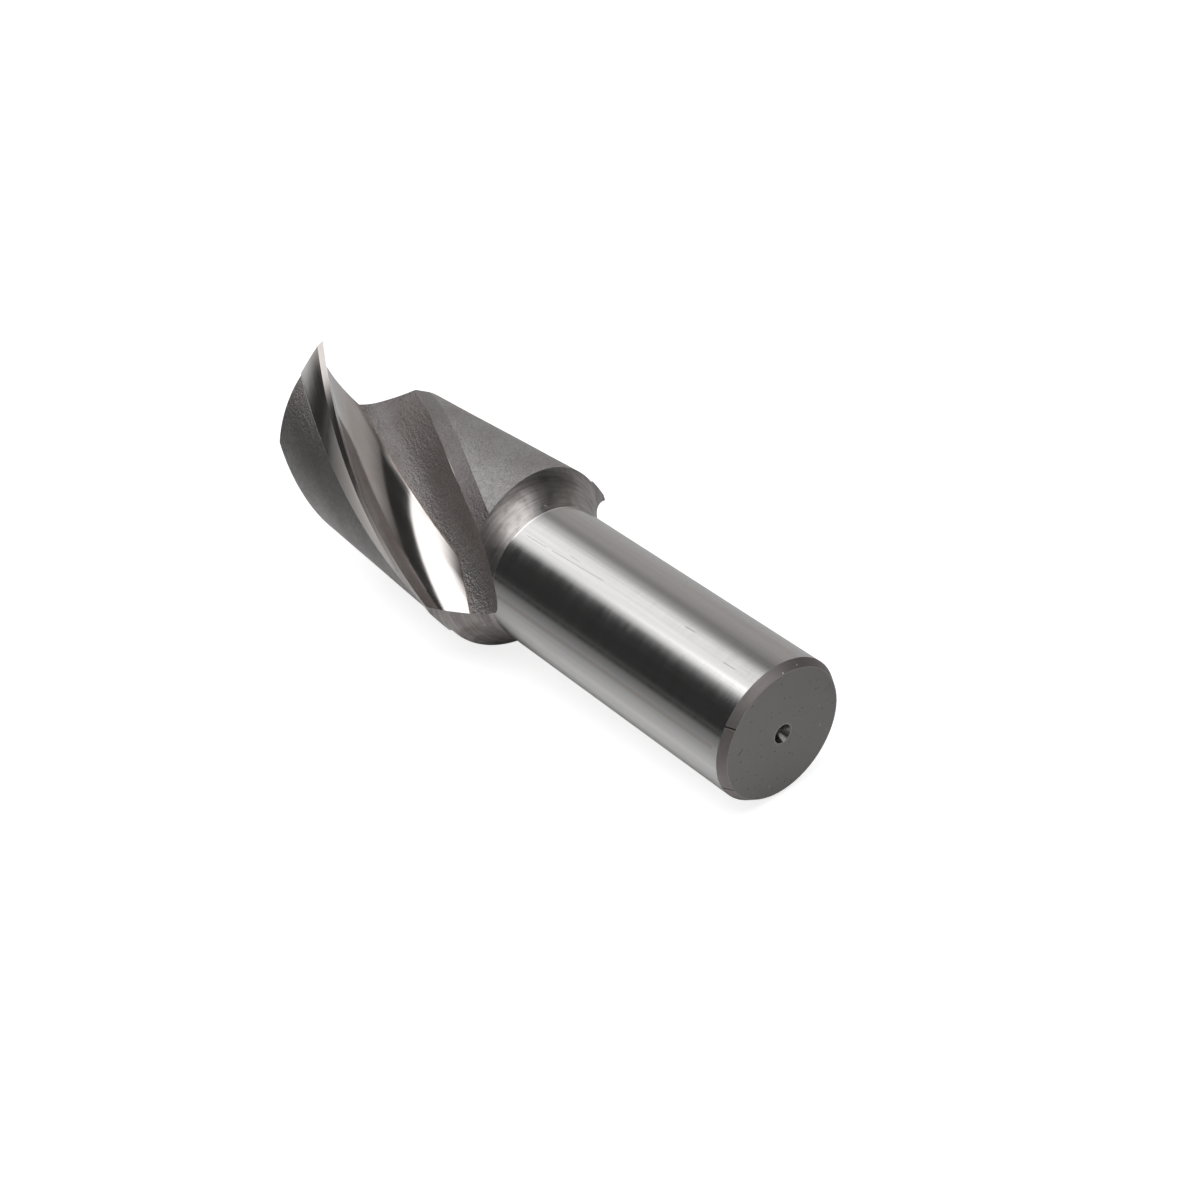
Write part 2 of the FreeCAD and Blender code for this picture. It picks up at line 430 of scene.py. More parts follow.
def new_group(name, inputs, outputs):
    """An empty shader node group with named sockets."""
    tree = bpy.data.node_groups.new(name, "ShaderNodeTree")
    for in_out, sockets in (("INPUT", inputs), ("OUTPUT", outputs)):
        for label, kind in sockets.items():
            tree.interface.new_socket(label, in_out=in_out, socket_type="NodeSocket" + kind)
    return tree, tree.nodes.new("NodeGroupInput").outputs, tree.nodes.new("NodeGroupOutput").inputs


print("node helpers are ready")

# %% [markdown]
# ## Place on the tool
# Every finish needs to know where it is on the tool. This group turns a point of
# the lying tool into upright mm, and then turns each section back by the helix,
# so that both teeth and every height share one outline. From that come the angle
# behind the cutting edge, which starts anew where one heel ends, and the angle
# round the flute's hollow. Painting by hand would need an unwrapped mesh.

# %% Place on the tool
FOLD = 180.0 - HEEL_ANGLE
place_group, _, out = new_group("place on the tool", {}, {
    "Upright": "Vector", "Section": "Vector", "Behind": "Float", "Sweep": "Float", "Radius": "Float"})
t = place_group
here = t.nodes.new("ShaderNodeTexCoord").outputs["Object"]
from_end = vector(t, "SUBTRACT", here, tuple(shank_end))
mm = [calc(t, "MULTIPLY", vector(t, "DOT_PRODUCT", from_end, tuple(way)), 1 / MM)
      for way in (tool_x, tool_y, tool_z)]
combine = t.nodes.new("ShaderNodeCombineXYZ")
for number, socket in zip(mm, combine.inputs):
    join(t, number, socket)
join(t, combine.outputs[0], out["Upright"])
untwist = t.nodes.new("ShaderNodeVectorRotate")
untwist.rotation_type = "Z_AXIS"
join(t, combine.outputs[0], untwist.inputs["Vector"])
join(t, calc(t, "MULTIPLY", calc(t, "SUBTRACT", LENGTH, mm[2]), turn_rate), untwist.inputs["Angle"])
join(t, untwist.outputs[0], out["Section"])
section_x, section_y, _ = parts(t, untwist.outputs[0])
squares = [calc(t, "MULTIPLY", part, part) for part in (section_x, section_y)]
radius_here = calc(t, "SQRT", calc(t, "ADD", *squares))
join(t, radius_here, out["Radius"])
ahead = calc(t, "DEGREES", calc(t, "ARCTAN2", section_y, section_x))
folded = calc(t, "FLOORED_MODULO", calc(t, "SUBTRACT", FOLD, ahead), 180.0)
behind_here = calc(t, "SUBTRACT", folded, FOLD)
join(t, behind_here, out["Behind"])
turn_here = calc(t, "RADIANS", behind_here)
folded_x = calc(t, "MULTIPLY", radius_here, calc(t, "COSINE", turn_here))
folded_y = calc(t, "MULTIPLY", radius_here, calc(t, "MULTIPLY", calc(t, "SINE", turn_here), -1.0))
sweep_x = calc(t, "SUBTRACT", folded_x, float(flute_centre[0]))
sweep_y = calc(t, "SUBTRACT", float(flute_centre[1]), folded_y)
sweep_here = calc(t, "ARCTAN2", sweep_y, sweep_x)
join(t, calc(t, "FLOORED_MODULO", calc(t, "DEGREES", sweep_here), 360.0), out["Sweep"])
print(t.name, len(t.nodes), "nodes")

# %% [markdown]
# ## Grinding lines
# A grinding wheel leaves very fine parallel lines. On the shank they run round
# it, on the lands and in the flutes they follow the helix. Real grooves would
# take millions of triangles, so they are a noise texture on a place that is
# squeezed along the lines. The group gives their height and a slow cloudiness
# that dulls some areas.

# %% Grinding lines
def noise(tree, place, scale, detail=2.0, rough=0.5):
    """Cloudy random values from 0 to 1; scale is in features per mm."""
    made = tree.nodes.new("ShaderNodeTexNoise")
    for name, number in zip(("Vector", "Scale", "Detail", "Roughness"), (place, scale, detail, rough)):
        join(tree, number, made.inputs[name])
    return made.outputs["Fac"]


def stretch(tree, place, factors):
    """The place, squeezed so that textures on it come out as streaks."""
    return vector(tree, "MULTIPLY", place, factors)


grind_group, given, out = new_group(
    "grinding lines", {"Place": "Vector", "Squeezed": "Vector"}, {"Height": "Float", "Cloud": "Float"})
t = grind_group
fine = noise(t, given["Squeezed"], 1.0, 3.0, 0.7)
coarse = noise(t, given["Squeezed"], 0.23, 2.0, 0.5)
join(t, calc(t, "ADD", calc(t, "MULTIPLY", fine, 0.6), calc(t, "MULTIPLY", coarse, 0.4)), out["Height"])
join(t, noise(t, given["Place"], 0.11, 3.0, 0.6), out["Cloud"])
print(t.name, len(t.nodes), "nodes")

# %% [markdown]
# ## Raw skin
# The unground skin of the backs and the flute walls is grainy, like fine cast
# metal, with ripples that cross the tooth and faint waves along the helix, where
# the form tool went. Four noise textures of different size and stretch are added
# up for the height. The hollows of the ripples are darkened too, as painted shade.

# %% Raw skin
SKIN_TONES = (0.415, 0.393, 0.388), (0.51, 0.502, 0.502)
SKIN_HOLLOW_SHADE = (0.18, 0.163, 0.158)


def spread(tree, value, low, high, to_low=0.0, to_high=1.0):
    """A smooth step from one value to another while the input goes from low to high."""
    made = tree.nodes.new("ShaderNodeMapRange")
    made.interpolation_type = "SMOOTHSTEP"
    for name, number in zip(("Value", "From Min", "From Max", "To Min", "To Max"),
                            (value, low, high, to_low, to_high)):
        join(tree, number, made.inputs[name])
    return made.outputs["Result"]


def blend(tree, share, first, second):
    """A colour between two others."""
    made = tree.nodes.new("ShaderNodeMix")
    made.data_type = "RGBA"
    join(tree, share, made.inputs[0])
    join(tree, (*first, 1.0) if isinstance(first, tuple) else first, made.inputs[6])
    join(tree, (*second, 1.0) if isinstance(second, tuple) else second, made.inputs[7])
    return made.outputs[2]


skin_group, given, out = new_group("raw skin", {"Place": "Vector", "Section": "Vector"}, {
    "Height": "Float", "Colour": "Color", "Roughness": "Float"})
t = skin_group
grains = noise(t, given["Place"], 2.6, 1.0, 0.6)
dimples = noise(t, given["Place"], 1.0, 1.0, 0.5)
waves = noise(t, stretch(t, given["Section"], (1.6, 1.6, 0.35)), 1.0, 1.0, 0.5)
ripples = noise(t, stretch(t, given["Section"], (1.6, 1.6, 2.8)), 1.0, 2.0, 0.65)
patches = noise(t, given["Section"], 0.09, 2.0, 0.55)
height = calc(t, "ADD", calc(t, "MULTIPLY", grains, 0.35), calc(t, "MULTIPLY", dimples, 0.2))
height = calc(t, "SUBTRACT", height, calc(t, "MULTIPLY", ripples, 0.5))
join(t, calc(t, "ADD", height, calc(t, "MULTIPLY", waves, 0.25)), out["Height"])
tone = blend(t, spread(t, patches, 0.3, 0.7), *SKIN_TONES)
# Painted shade: the hollows of the ripples get a darker colour.
join(t, blend(t, spread(t, ripples, 0.45, 0.68, 0.0, 0.38), tone, SKIN_HOLLOW_SHADE), out["Colour"])
join(t, spread(t, dimples, 0.3, 0.7, 0.46, 0.58), out["Roughness"])
print(t.name, len(t.nodes), "nodes")

# %% [markdown]
# ## Specks and marks
# Small pits and specks are cells of a random pattern of which only a few are
# kept. Size is in features per mm, and share says how many of them show.

# %% Specks
speck_group, given, out = new_group(
    "specks", {"Place": "Vector", "Size": "Float", "Share": "Float"}, {"Mask": "Float"})
t = speck_group
cells = t.nodes.new("ShaderNodeTexVoronoi")
join(t, given["Place"], cells.inputs["Vector"])
join(t, given["Size"], cells.inputs["Scale"])
kept = calc(t, "LESS_THAN", parts(t, cells.outputs["Color"])[0], given["Share"])
speck_size = calc(t, "MULTIPLY_ADD", parts(t, cells.outputs["Color"])[1], 0.22, 0.08)
dot = spread(t, cells.outputs["Distance"], calc(t, "MULTIPLY", speck_size, 0.6), speck_size, 1.0, 0.0)
join(t, calc(t, "MULTIPLY", dot, kept), out["Mask"])
print(t.name, len(t.nodes), "nodes")

# %% [markdown]
# Scratches and nicks are single marks with a place of their own, so a random
# pattern won't do. Each is all that lies close to a short straight segment: the
# group finds the nearest point of the segment and measures the gap to it, in mm.

# %% Single mark
def scaled(tree, way, factor):
    """A place, direction or colour made longer or shorter."""
    made = tree.nodes.new("ShaderNodeVectorMath")
    made.operation = "SCALE"
    join(tree, way, made.inputs["Vector"])
    join(tree, factor, made.inputs["Scale"])
    return made.outputs["Vector"]


mark_group, given, out = new_group("single mark", {
    "Place": "Vector", "From": "Vector", "To": "Vector", "Width": "Float"}, {"Mask": "Float"})
t = mark_group
run = vector(t, "SUBTRACT", given["To"], given["From"])
reach = vector(t, "SUBTRACT", given["Place"], given["From"])
along = vector(t, "DOT_PRODUCT", reach, run)
share = calc(t, "DIVIDE", along, vector(t, "DOT_PRODUCT", run, run), clamp=True)
gap = vector(t, "DISTANCE", reach, scaled(t, run, share))
core = calc(t, "MULTIPLY", given["Width"], 0.25)
rim = calc(t, "MULTIPLY", given["Width"], 0.6)
join(t, spread(t, gap, core, rim, 1.0, 0.0), out["Mask"])
print(t.name, len(t.nodes), "nodes")

# %% [markdown]
# A finish usually has several marks. Their ends are given as a maker would say
# them: how far from the axis, at which angle round it, and at which height.

# %% Several marks
def use(tree, group, **values):
    """A group placed in a material; gives its outputs."""
    made = tree.nodes.new("ShaderNodeGroup")
    made.node_tree = group
    for name, value in values.items():
        join(tree, value, made.inputs[name])
    return made.outputs


def round_place(reach, angle, height):
    """A point round the tool's axis, in upright mm."""
    turn = math.radians(angle)
    return reach * math.cos(turn), reach * math.sin(turn), height


def marks(tree, place, segments):
    """Several marks in one mask, each given as two ends and a width."""
    total = 0.0
    for first, last, width in segments:
        ends = {"From": round_place(*first), "To": round_place(*last)}
        mask = use(tree, mark_group, Place=place, Width=width, **ends)
        total = calc(tree, "MAXIMUM", mask["Mask"], total)
    return total


print("a quarter turn from the first tip is", round_place(shank_radius, 90, 0))

# %% [markdown]
# ## What all finishes share
# Every finish is a metal with a base colour, a roughness that goes up and down
# with its texture, and a fine relief. A bump node fakes the relief in the
# shading alone, which is right for lines of a few thousandths of a mm. In the
# cells below, a pair of heights, angles or sweeps says between which two values
# an effect comes in or fades out. A pair of colours is a texture's two tones.

# %% Start of a finish
def start(name, metallic=1.0):
    """A new material: its tree, its shader and the place group's outputs."""
    made = bpy.data.materials.new(name)
    made.use_nodes = True
    tree = made.node_tree
    shader = tree.nodes["Principled BSDF"]
    shader.inputs["Metallic"].default_value = metallic
    return made, tree, shader, use(tree, place_group)


def grinding(tree, at, place, factors):
    """Grinding lines, squeezed either on the upright tool or in its turned-back section."""
    return use(tree, grind_group, Place=at["Upright"], Squeezed=stretch(tree, at[place], factors))


def lay_over(tree, base, mask, strength, colour):
    """A colour laid thinly over another where a mask shows."""
    return blend(tree, calc(tree, "MULTIPLY", mask, strength), base, colour)


def roughen(tree, shader, texture, smooth, rough):
    """Roughness that follows the ups and downs of a texture."""
    join(tree, spread(tree, texture, 0.3, 0.7, smooth, rough), shader.inputs["Roughness"])


def bump(tree, shader, height, depth):
    """Fine relief, depth in mm for a height of 1."""
    made = tree.nodes.new("ShaderNodeBump")
    made.inputs["Strength"].default_value = 1.0
    made.inputs["Distance"].default_value = depth * MM
    join(tree, height, made.inputs["Height"])
    tree.links.new(made.outputs["Normal"], shader.inputs["Normal"])


def keep(surface, made):
    """Files a finish under the surface that it is for."""
    finishes[surface] = made
    print(made.name, "for", surface, "-", len(made.node_tree.nodes), "nodes")


finishes = {}
print("finishes are needed for", names)

# %% [markdown]
# ## Ground shank
# The shank is ground round, so its lines go round it. They are too fine to see
# one by one, but they fray the edges of the reflections. An anisotropic shader
# would fray all of them alike, so noise that is squeezed round the axis drives
# the roughness and a bump instead. A few short scratches along the shank come
# from sliding in and out of a holder, a brown line is an old stain, and a thin
# painted highlight runs along the edge to the cove. Each scratch is given by the
# angle and height of its two ends, and its width.

# %% Ground shank
SHANK_TONES = (0.613, 0.603, 0.598), (0.652, 0.647, 0.643)
STAIN_BROWN = (0.40, 0.33, 0.29)
NECK_HIGHLIGHT = (0.97, 0.96, 0.95)
SCRATCH_GREY = (0.12, 0.11, 0.105)
SPECK_WHITE = (0.75, 0.74, 0.73)
SCRATCHES = [
    ((157.6, 56.0), (158.4, 51.0), 0.10),
    ((158.8, 49.5), (161.5, 37.0), 0.10),
    ((163.5, 46.0), (163.7, 43.5), 0.08),
    ((167.5, 18.5), (168.0, 16.5), 0.16),
    ((161.0, 8.2), (161.4, 5.8), 0.14),
    ((145.5, 14.8), (149.5, 14.9), 0.12),
    ((150.5, 54.2), (146.0, 54.4), 0.16),
]
STAIN = [((103.0, 57.0), (104.5, 3.0), 0.9)]
neck_highlight_heights = neck - 0.3, neck - 0.2


def on_shank(segments):
    """Marks on the shank, with only the angle and height of each end given."""
    return [((shank_radius, *first), (shank_radius, *last), width) for first, last, width in segments]


made, t, shader, at = start("ground shank")
lines = grinding(t, at, "Upright", (0.25, 0.25, 6.0))
scratches = marks(t, at["Upright"], on_shank(SCRATCHES))
specks = use(t, speck_group, Place=at["Upright"], Size=0.9, Share=0.02)["Mask"]
streaks = noise(t, stretch(t, at["Upright"], (1.1, 1.1, 0.02)), 1.0, 2.0, 0.6)
steel = blend(t, spread(t, streaks, 0.35, 0.65), *SHANK_TONES)
steel = lay_over(t, steel, marks(t, at["Upright"], on_shank(STAIN)), 0.35, STAIN_BROWN)
# Painted highlight: a thin bright strip on the shank along its edge to the cove.
edge = spread(t, parts(t, at["Upright"])[2], *neck_highlight_heights)
steel = blend(t, edge, steel, NECK_HIGHLIGHT)
steel = lay_over(t, steel, scratches, 0.35, SCRATCH_GREY)
join(t, lay_over(t, steel, specks, 0.3, SPECK_WHITE), shader.inputs["Base Color"])
roughen(t, shader, lines["Height"], smooth=0.12, rough=0.21)
bump(t, shader, calc(t, "SUBTRACT", lines["Height"], scratches), depth=0.007)
keep("shank", made)

# %% [markdown]
# ## Turned cove
# The cove was turned and never ground: browner and duller, with rings of the
# turning tool. They are the grinding lines again, only wider and deeper, which
# is why that group takes its squeezed place from the material. Brown patches and
# a few bright nicks lie over them.

# %% Turned cove
COVE_TONES = (0.31, 0.285, 0.277), (0.47, 0.447, 0.438)
COVE_PATCH = (0.15, 0.12, 0.105)
NICK_BRIGHT = (0.6, 0.57, 0.54)
made, t, shader, at = start("turned cove")
rings = grinding(t, at, "Upright", (0.12, 0.12, 3.2))
patches = noise(t, at["Upright"], 0.35, 3.0, 0.6)
nicks = use(t, speck_group, Place=at["Upright"], Size=0.7, Share=0.12)["Mask"]
brown = blend(t, spread(t, rings["Height"], 0.38, 0.62), *COVE_TONES)
brown = blend(t, spread(t, patches, 0.45, 0.7, 0.0, 0.35), brown, COVE_PATCH)
join(t, lay_over(t, brown, nicks, 0.5, NICK_BRIGHT), shader.inputs["Base Color"])
roughen(t, shader, patches, smooth=0.3, rough=0.42)
bump(t, shader, calc(t, "SUBTRACT", rings["Height"], calc(t, "MULTIPLY", nicks, 0.5)), depth=0.04)
keep("cove", made)

# %% [markdown]
# ## Unground backs
# Behind the ground lands the tooth backs keep the dark skin of the hardened
# blank. The narrow facet before the next flute, the heel, is darker, the more so
# near the neck, as painted shade. Painted shade also darkens the back beside the
# lands near the tips, and the small step at the lands has a painted highlight on
# its edge. All of this depends only on the angle behind the cutting edge and the
# height, so it needs no painted mask.

# %% Raw back and heel
SKIN_DARK = (0.17, 0.148, 0.144)
STEP_HIGHLIGHT = (0.95, 0.92, 0.9)
SHADE_HEIGHTS = 64.0, 96.0
TIP_SHADE_ANGLES = 32.0, 66.0
TIP_SHADE_HEIGHTS = 80.0, 108.0
step_highlight_angles = STEP_ANGLE, STEP_ANGLE + 0.4
for name, near_tip, near_neck in (("raw_back", 0.0, 0.05), ("heel", 0.42, 0.85)):
    made, t, shader, at = start(name.replace("_", " "), metallic=0.75)
    skin = use(t, skin_group, Place=at["Upright"], Section=at["Section"])
    up = parts(t, at["Upright"])[2]
    # Painted shade: the heel is darker all along and most near the neck; the back darkens only a little
    # near the neck.
    shade = spread(t, up, *SHADE_HEIGHTS, near_neck, near_tip)
    # Painted shade: near the tips the back beside the lands is darker.
    tip_shade = spread(t, at["Behind"], *TIP_SHADE_ANGLES, 0.68, 0.0)
    tip_shade = calc(t, "MULTIPLY", tip_shade, spread(t, up, *TIP_SHADE_HEIGHTS))
    dark = blend(t, calc(t, "MAXIMUM", shade, tip_shade), skin["Colour"], SKIN_DARK)
    # Painted highlight along the edge of the small step at the lands.
    step = spread(t, at["Behind"], *step_highlight_angles, 0.75, 0.0)
    join(t, blend(t, step, dark, STEP_HIGHLIGHT), shader.inputs["Base Color"])
    join(t, skin["Roughness"], shader.inputs["Roughness"])
    bump(t, shader, skin["Height"], depth=0.28)
    keep(name, made)

# %% [markdown]
# ## Ground lands
# The two narrow strips behind each cutting edge are ground along the helix. One
# even grey would look like plastic, so the slow cloud of the grinding lines
# shifts their tone. The first strip has a painted highlight at the cutting edge
# itself.

# %% Primary land
LAND_TONES = (0.52, 0.482, 0.462), (0.62, 0.585, 0.565)
LAND_PALE = (0.84, 0.825, 0.81)
EDGE_HIGHLIGHT_ANGLES = 0.0, 0.5
LAND_ROUGHNESS = 0.16, 0.26


def land(name):
    """Start of a land's material, with its grinding lines."""
    made, t, shader, at = start(name.replace("_", " "))
    lines = grinding(t, at, "Section", (3.5, 3.5, 0.10))
    bump(t, shader, lines["Height"], depth=0.003)
    return made, t, shader, at, lines


made, t, shader, at, lines = land("primary_land")
# Painted highlight along the cutting edge.
edge = spread(t, at["Behind"], *EDGE_HIGHLIGHT_ANGLES, 0.7, 0.0)
steel = blend(t, lines["Cloud"], *LAND_TONES)
join(t, blend(t, edge, steel, LAND_PALE), shader.inputs["Base Color"])
roughen(t, shader, lines["Height"], *LAND_ROUGHNESS)
keep("primary_land", made)

# %% [markdown]
# The second strip is wider and has a painted highlight along its far side. In
# its corner at the tip it is paler and duller.

# %% Secondary land
CORNER_HEIGHTS = 108.0, 118.0
CORNER_ANGLES = 6.0, 15.0
far_edge_highlight = SECONDARY_ANGLE - 0.5, SECONDARY_ANGLE - 0.05
made, t, shader, at, lines = land("secondary_land")
# Painted highlight along the far side of the strip.
edge = spread(t, at["Behind"], *far_edge_highlight, 0.0, 0.5)
corner = spread(t, parts(t, at["Upright"])[2], *CORNER_HEIGHTS)
corner = calc(t, "MULTIPLY", corner, spread(t, at["Behind"], *CORNER_ANGLES))
steel = blend(t, lines["Cloud"], *LAND_TONES)
join(t, blend(t, calc(t, "MAXIMUM", corner, edge), steel, LAND_PALE), shader.inputs["Base Color"])
dull = calc(t, "MULTIPLY_ADD", corner, 0.17, spread(t, lines["Height"], 0.3, 0.7, *LAND_ROUGHNESS))
join(t, dull, shader.inputs["Roughness"])
keep("secondary_land", made)

# %% [markdown]
# ## Flute
# Only the part of the flute next to the cutting edge is ground, as the rake face.
# The rest has the raw skin. The border between them follows the helix at a fixed
# angle round the flute's hollow, and climbs to the edge near the neck. It wavers
# a little, and a thin copper-brown line marks it. Two materials would meet along
# the triangles, in a zigzag, so one material changes over where the angle past
# the border turns positive, and noise added to that angle makes it waver.

# %% Border of the rake face
BORDER_SWEEP = 143.2
BORDER_FOOT = 61.5
BORDER_FOOT_SWEEP = 103.8
BORDER_CLIMB = 5.0
BORDER_SOFT = 0.25
WAVER = 1.6
BROWN_STARTS = -1.6, -0.2
BROWN_ENDS = 0.2, 1.8
made, t, shader, at = start("flute")
up = parts(t, at["Upright"])[2]
border = calc(t, "MULTIPLY_ADD", calc(t, "SUBTRACT", up, BORDER_FOOT), BORDER_CLIMB, BORDER_FOOT_SWEEP)
border = calc(t, "MINIMUM", border, BORDER_SWEEP)
waver = calc(t, "MULTIPLY_ADD", noise(t, at["Upright"], 1.1, 2.0), WAVER, -WAVER / 2)
past = calc(t, "ADD", calc(t, "SUBTRACT", at["Sweep"], border), waver)
raw = spread(t, past, -BORDER_SOFT, BORDER_SOFT)
brown_line = calc(t, "MULTIPLY", spread(t, past, *BROWN_STARTS), spread(t, past, *BROWN_ENDS, 1.0, 0.0))
border_top = BORDER_FOOT + (BORDER_SWEEP - BORDER_FOOT_SWEEP) / BORDER_CLIMB
print("the border stops climbing at a height of", border_top)

# %% [markdown]
# The rake face is the brightest ground face. Near the tip its margin at the
# cutting edge has a painted highlight, nearly white. Along the brown line, from
# the middle of the flute up, it has a painted dark reflection, with streaks that
# follow the wheel's lines.

# %% Ground rake face
RAKE_TONES = (0.61, 0.575, 0.56), (0.68, 0.65, 0.635)
RAKE_CLOUD = (0.55, 0.50, 0.475)
RAKE_HIGHLIGHT = (0.93, 0.925, 0.91)
HIGHLIGHT_SWEEPS = 84.0, 100.0
HIGHLIGHT_HEIGHTS = 98.0, 110.0
DARK_REFLECTION = (0.25, 0.225, 0.215)
DARK_REFLECTION_PAST = -8.0, -1.5
DARK_REFLECTION_HEIGHTS = 86.0, 93.0
lines = grinding(t, at, "Section", (4.0, 4.0, 0.06))
steel = blend(t, spread(t, lines["Height"], 0.35, 0.65), *RAKE_TONES)
steel = blend(t, spread(t, lines["Cloud"], 0.35, 0.65, 0.0, 0.3), steel, RAKE_CLOUD)
# Painted highlight on the rake's margin at the cutting edge near the tip.
rake_highlight = spread(t, at["Sweep"], *HIGHLIGHT_SWEEPS, 0.85, 0.0)
steel = blend(t, calc(t, "MULTIPLY", rake_highlight, spread(t, up, *HIGHLIGHT_HEIGHTS)), steel, RAKE_HIGHLIGHT)
# Painted dark reflection beside the border, from the middle of the flute up.
dark_reflection = spread(t, lines["Height"], 0.3, 0.6, 0.35, 0.75)
dark_reflection = calc(t, "MULTIPLY", spread(t, past, *DARK_REFLECTION_PAST), dark_reflection)
steel = blend(t, calc(t, "MULTIPLY", dark_reflection, spread(t, up, *DARK_REFLECTION_HEIGHTS)), steel, DARK_REFLECTION)
print("rake face", len(t.nodes), "nodes so far")

# %% [markdown]
# The raw wall is the skin of the backs again, but browner and darker, and
# painted shade darkens it more towards the heel. Colour, roughness and metal all
# change over at the same border.

# %% Raw wall
WALL_BROWN_AND_SHADE = (0.17, 0.14, 0.132)
WALL_SHADE_SWEEPS = 160.0, 185.0
RAKE_ROUGHNESS = 0.09, 0.14
BORDER_COPPER = (0.42, 0.30, 0.24)


def mix(tree, share, first, second):
    """A number between two others."""
    made = tree.nodes.new("ShaderNodeMix")
    join(tree, share, made.inputs[0])
    join(tree, first, made.inputs[2])
    join(tree, second, made.inputs[3])
    return made.outputs[0]


skin = use(t, skin_group, Place=at["Upright"], Section=at["Section"])
# Browner and darker all over, with painted shade that grows towards the heel.
wall = blend(t, spread(t, at["Sweep"], *WALL_SHADE_SWEEPS, 0.45, 0.7), skin["Colour"], WALL_BROWN_AND_SHADE)
colour = lay_over(t, blend(t, raw, steel, wall), brown_line, 0.6, BORDER_COPPER)
join(t, colour, shader.inputs["Base Color"])
ground_rough = spread(t, lines["Height"], 0.3, 0.7, *RAKE_ROUGHNESS)
join(t, mix(t, raw, ground_rough, skin["Roughness"]), shader.inputs["Roughness"])
join(t, calc(t, "MULTIPLY_ADD", raw, -0.25, 1.0), shader.inputs["Metallic"])
print("raw wall", len(t.nodes), "nodes so far")

# %% [markdown]
# The relief adds up the skin, where the flute is raw, and the fine lines. Low
# down, where the wheel came out of the flute, the rake face also turns a little
# away before the border: a shallow hollow that grows with the square of the
# angle. It is too slight to see as a shape, but it bends the bright reflection.

# %% Relief of the flute
HOLLOW_FROM = 129.5
HOLLOW_DEPTH = 0.17
HOLLOW_HEIGHTS = 76.0, 84.0
SKIN_DEPTH = 0.5
LINE_DEPTH = 0.0012
hollow = calc(t, "SUBTRACT", calc(t, "MINIMUM", at["Sweep"], border), HOLLOW_FROM)
hollow = calc(t, "MAXIMUM", calc(t, "DIVIDE", hollow, BORDER_SWEEP - HOLLOW_FROM), 0.0)
hollow = calc(t, "MULTIPLY", hollow, spread(t, up, *HOLLOW_HEIGHTS, 1.0, 0.0))
hollow = calc(t, "MULTIPLY", hollow, hollow)
relief = calc(t, "MULTIPLY", skin["Height"], calc(t, "MULTIPLY", raw, SKIN_DEPTH))
relief = calc(t, "SUBTRACT", relief, calc(t, "MULTIPLY", hollow, HOLLOW_DEPTH))
relief = calc(t, "ADD", relief, calc(t, "MULTIPLY", lines["Height"], LINE_DEPTH))
bump(t, shader, relief, depth=1.0)
keep("flute", made)

# %% [markdown]
# ## Shank end
# The end was left as turned and hardened: dark and matt, with pits, a few light
# specks and a short dent. The pits are smaller than the triangles, so they are
# specks that darken the colour and dip the bump. The rims, at the centre hole
# and at the chamfer, are lighter. Both follow from the distance to the axis.

# %% Shank end
end_radius = shank_radius - CHAMFER_WIDTH
hole_edge = HOLE_MOUTH + 0.25, HOLE_MOUTH + 0.05
chamfer_edge = end_radius - 0.15, end_radius - 0.04
END_TONES = (0.235, 0.225, 0.221), (0.32, 0.308, 0.302)
PIT_DARK = (0.04, 0.038, 0.036)
END_SPECK = (0.5, 0.49, 0.48)
DENT_DARK = (0.05, 0.047, 0.045)
RIM_LIGHT = (0.55, 0.53, 0.51)
END_DENT = [((8.6, 104.0, 0.0), (9.3, 98.5, 0.0), 0.22)]
made, t, shader, at = start("shank end face")
grain = noise(t, at["Upright"], 3.2, 2.0, 0.7)
pits = use(t, speck_group, Place=at["Upright"], Size=1.7, Share=0.4)["Mask"]
flipped = stretch(t, at["Upright"], (1.0, -1.0, 1.0))
light_specks = use(t, speck_group, Place=flipped, Size=1.0, Share=0.06)["Mask"]
grey = lay_over(t, blend(t, grain, *END_TONES), pits, 0.6, PIT_DARK)
grey = lay_over(t, grey, light_specks, 0.4, END_SPECK)
grey = lay_over(t, grey, marks(t, at["Upright"], END_DENT), 0.7, DENT_DARK)
rims = calc(t, "MAXIMUM", spread(t, at["Radius"], *hole_edge), spread(t, at["Radius"], *chamfer_edge))
join(t, lay_over(t, grey, rims, 0.5, RIM_LIGHT), shader.inputs["Base Color"])
roughen(t, shader, grain, smooth=0.5, rough=0.62)
bump(t, shader, calc(t, "SUBTRACT", grain, calc(t, "MULTIPLY", pits, 0.8)), depth=0.012)
keep("end_face", made)

# %% [markdown]
# ## Chamfer
# The chamfer is as dark as the end, and a little browner. Dark nicks cross it
# where it was knocked, and two bright dings sit near its inner edge. They are
# marks with places of their own, and the nicks are deep enough to bump.

# %% Chamfer
CHAMFER_TONES = (0.29, 0.263, 0.255), (0.36, 0.335, 0.327)
NICK_DARK = (0.05, 0.045, 0.04)
DING_BRIGHT = (0.95, 0.94, 0.93)
NICKS = [
    ((shank_radius, 124.1, CHAMFER_HEIGHT + 0.1), (end_radius, 125.2, 0.0), 0.35),
    ((shank_radius, 68.5, CHAMFER_HEIGHT), (end_radius, 64.5, 0.0), 0.3),
    ((end_radius, -121.0, 0.0), (end_radius + 0.3, -121.5, 0.3), 0.4),
]
DINGS = [
    ((11.95, -161.5, 0.55), (11.87, -161.9, 0.45), 0.22),
    ((11.75, -177.0, 0.25), (11.7, -177.2, 0.18), 0.22),
]
made, t, shader, at = start("shank chamfer")
lines = grinding(t, at, "Upright", (0.4, 0.4, 5.0))
nicks = marks(t, at["Upright"], NICKS)
brown = blend(t, nicks, blend(t, lines["Cloud"], *CHAMFER_TONES), NICK_DARK)
